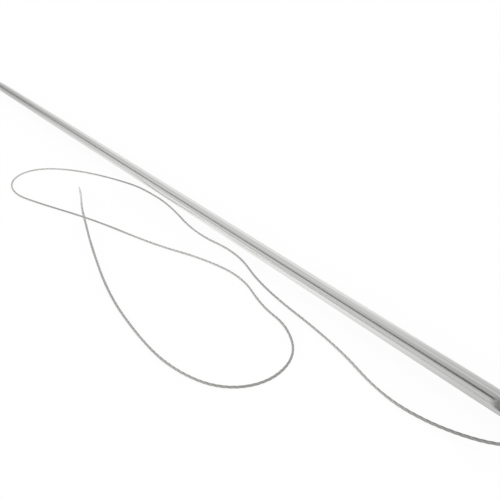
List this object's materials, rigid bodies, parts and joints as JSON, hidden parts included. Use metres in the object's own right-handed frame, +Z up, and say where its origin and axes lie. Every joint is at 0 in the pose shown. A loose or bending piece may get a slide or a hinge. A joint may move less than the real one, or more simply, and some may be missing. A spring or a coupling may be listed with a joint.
{
  "type": "threaded upholstery needle",
  "caption": "Long straight hand needle of round polished steel with a guttered eye, threaded with a fine grey thread that lies beside it in loose loops.",
  "frame": {"origin": "on the table, under the middle of the needle's length and thickness", "axes": "+X along the needle from its point to its butt, +Z up from the table, -Y towards the thread's loops"},
  "size_m": [0.216, 0.0375, 0.0025],
  "materials": {
    "steel": "polished, nickel-plated",
    "thread": "matte, bonded twisted thread"
  },
  "bodies": {
    "needle": {"needle": "steel"},
    "thread": {"thread": "thread"}
  },
  "joints": [
    {"name": "thread_swing", "type": "hinge", "parent": "needle", "child": "thread", "pos_m": [0.093, 0, 0.00125], "axis": [0, 0, 1], "range_deg": [0, 45]}
  ]
}
